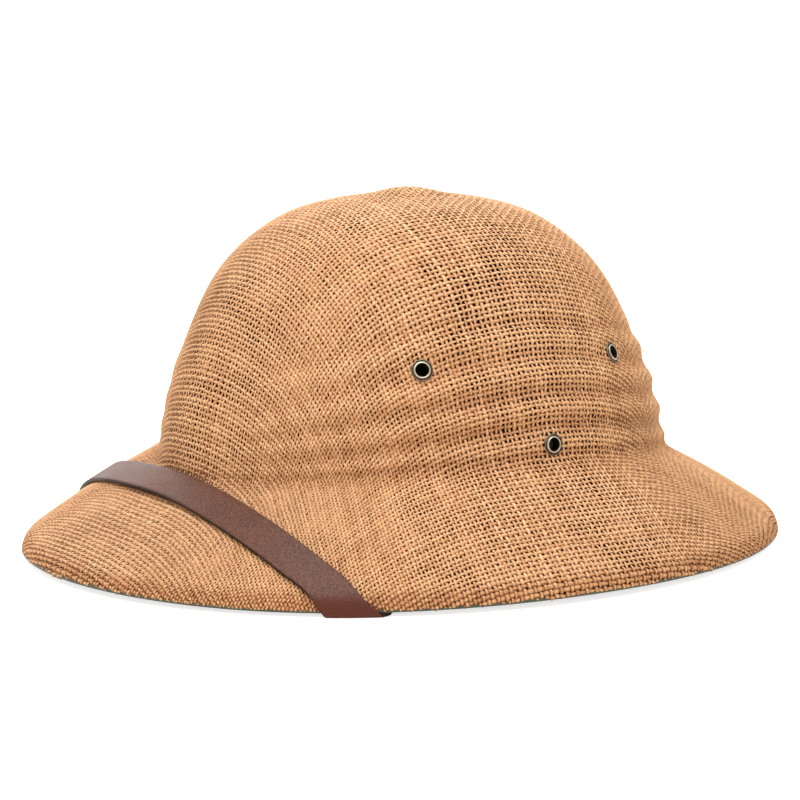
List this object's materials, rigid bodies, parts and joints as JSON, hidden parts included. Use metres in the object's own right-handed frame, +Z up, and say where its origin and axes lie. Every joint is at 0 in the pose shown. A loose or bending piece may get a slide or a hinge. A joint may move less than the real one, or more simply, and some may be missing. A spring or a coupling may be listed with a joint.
{
  "type": "pith helmet",
  "caption": "Straw-covered sun helmet with a domed, softly folded crown, a sloping down-turned brim, metal vent eyelets and a flat leather chin strap laid over the front.",
  "frame": {"origin": "centre of the outline seen from above, at the level of the surface the helmet stands on", "axes": "-Y is the way the wearer faces, +X is the wearer's left, +Z is up"},
  "size_m": [0.28, 0.3274, 0.145],
  "materials": {
    "straw": "matt plain-woven flat paper straw, natural tan, over a stiff moulded shell",
    "lining_cloth": "matt dark green cloth",
    "strap_leather": "fine-grained brown leather with a soft sheen and near-black raw edges",
    "aged_metal": "antiqued, half gloss, dark in the grooves"
  },
  "bodies": {
    "root": {"straw_shell": "straw", "brim_lining": "lining_cloth", "chin_strap": "strap_leather", "strap_pin_left": "aged_metal", "strap_pin_right": "aged_metal", "eyelet_left_front": "aged_metal", "eyelet_left_rear": "aged_metal", "eyelet_left_low": "aged_metal", "eyelet_right_front": "aged_metal", "eyelet_right_rear": "aged_metal", "eyelet_right_low": "aged_metal"}
  },
  "joints": []
}
